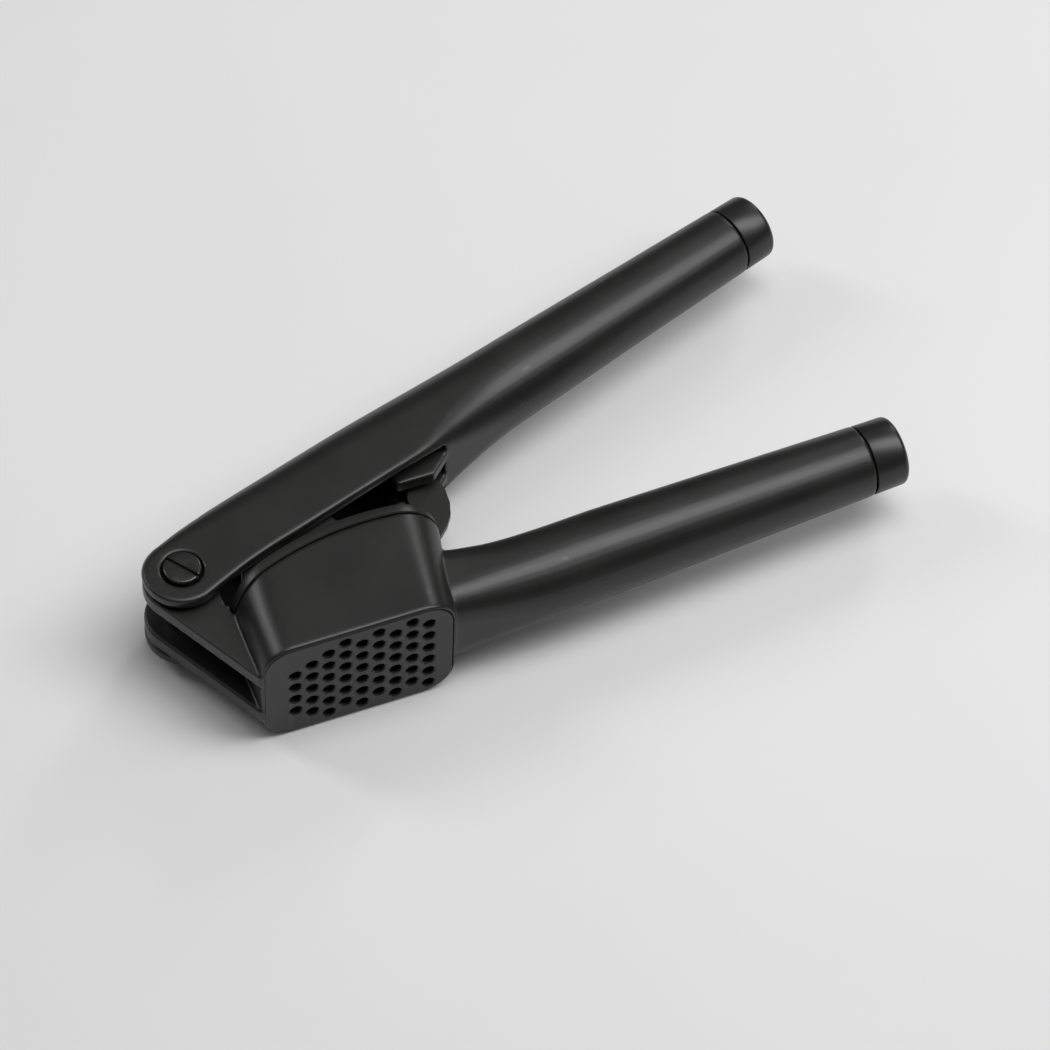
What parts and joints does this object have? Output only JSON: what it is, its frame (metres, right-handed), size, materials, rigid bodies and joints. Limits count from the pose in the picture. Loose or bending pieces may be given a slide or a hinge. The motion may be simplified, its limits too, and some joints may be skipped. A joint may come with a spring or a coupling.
{
  "type": "garlic press",
  "caption": "Hinged garlic press with tubular handles, a lift-out sieve basket and a plunger that swings into it.",
  "frame": {"origin": "on the resting plane, under the middle of the press's bounding box", "axes": "+Z along the hinge axis, up from the side the press lies on; +X along the lower handle, from the hinge to the handle ends; +Y from the perforated floor towards the lever"},
  "size_m": [0.1678, 0.0912, 0.0304],
  "materials": {
    "powder_coat": "satin black powder coat on cast metal",
    "powder_coat_basket": "satin black coat on pressed sheet",
    "blackened_steel": "blackened and lightly polished",
    "nylon": "matte",
    "cap_plastic": "fine satin"
  },
  "bodies": {
    "frame": {"lower_body": "powder_coat", "sieve_basket": "powder_coat_basket", "lower_end_cap": "cap_plastic", "hinge_screw": "blackened_steel", "hinge_barrel": "blackened_steel", "fork_spacer": "blackened_steel", "near_washer": "nylon", "far_washer": "nylon"},
    "lever": {"lever_body": "powder_coat", "plunger_pin": "blackened_steel", "upper_end_cap": "cap_plastic"},
    "plunger": {"plunger": "powder_coat"}
  },
  "joints": [
    {"name": "lever_hinge", "type": "hinge", "parent": "frame", "child": "lever", "pos_m": [-0.0753, -0.01573, 0.0152], "axis": [0, 0, 1], "range_deg": [-12.5, 52]},
    {"name": "plunger_pivot", "type": "hinge", "parent": "lever", "child": "plunger", "pos_m": [-0.04611, -0.00844, 0.0152], "axis": [0, 0, 1], "range_deg": [-14, 4]}
  ],
  "couplings": [
    {"joint": "plunger_pivot", "follows": "lever_hinge", "ratio": -0.25}
  ]
}
